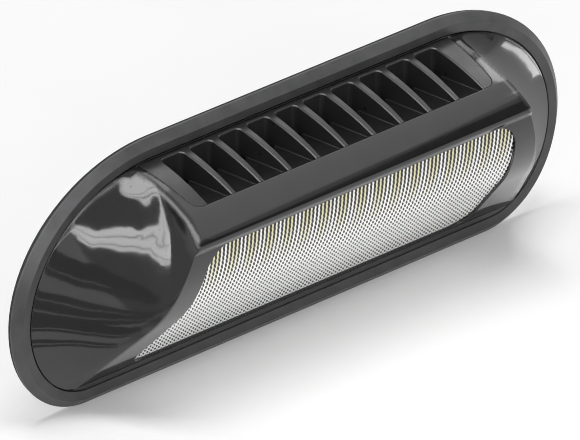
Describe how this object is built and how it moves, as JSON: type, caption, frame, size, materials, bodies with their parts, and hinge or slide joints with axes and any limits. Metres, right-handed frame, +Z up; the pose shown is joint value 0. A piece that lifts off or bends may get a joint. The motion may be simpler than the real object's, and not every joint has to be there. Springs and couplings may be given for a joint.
{
  "type": "perimeter flood light",
  "caption": "Long oval surface-mount flood light with a moulded hood, slotted vent grille on top, curved clear lens with prisms below the brow, and a matte rim.",
  "frame": {"origin": "on the rear mounting face, at the middle of the lamp's length and at the level of the rim's two ends", "axes": "+X along the lamp to its right end seen from the front, +Y out of the rear face into the vehicle's wall, +Z up"},
  "size_m": [0.25, 0.0402, 0.0908],
  "materials": {
    "housing_gloss": "gloss black injection-moulded ABS/PC",
    "rim_matte": "satin black, fine texture",
    "grille_matte": "satin black",
    "gasket_rubber": "closed-cell black foam rubber",
    "lens_clear": "clear polycarbonate with small square prisms inside",
    "tray_white": "white, semi-gloss",
    "board_white": "white solder mask on an aluminium core",
    "led_phosphor": "yellow phosphor in a white package",
    "screw_steel": "stainless, plain",
    "pad_grey": "soft silicone",
    "sink_aluminium": "extruded, plain",
    "board_green": "green solder mask",
    "capacitor_can": "plain can",
    "chip_black": "moulded package",
    "header_white": "natural nylon",
    "insert_brass": "turned, plain"
  },
  "bodies": {
    "root": {"mounting_gasket": "gasket_rubber", "bezel_ring": "rim_matte", "housing_shell": "housing_gloss", "vent_grille": "grille_matte", "lens": "lens_clear", "lens_gasket": "gasket_rubber", "reflector_tray": "tray_white", "led_board": "board_white", "led_chips": "led_phosphor", "led_board_screws": "screw_steel", "thermal_pad": "pad_grey", "heat_sink": "sink_aluminium", "heat_sink_screws": "screw_steel", "driver_board": "board_green", "driver_board_screws": "screw_steel", "driver_capacitors": "capacitor_can", "driver_chips": "chip_black", "driver_inductor": "chip_black", "power_header": "header_white", "rear_cover": "rim_matte", "rear_cover_seal": "gasket_rubber", "rear_cover_screws": "screw_steel", "cable_grommet": "gasket_rubber", "breather_plug": "chip_black", "mounting_inserts": "insert_brass"}
  },
  "joints": []
}
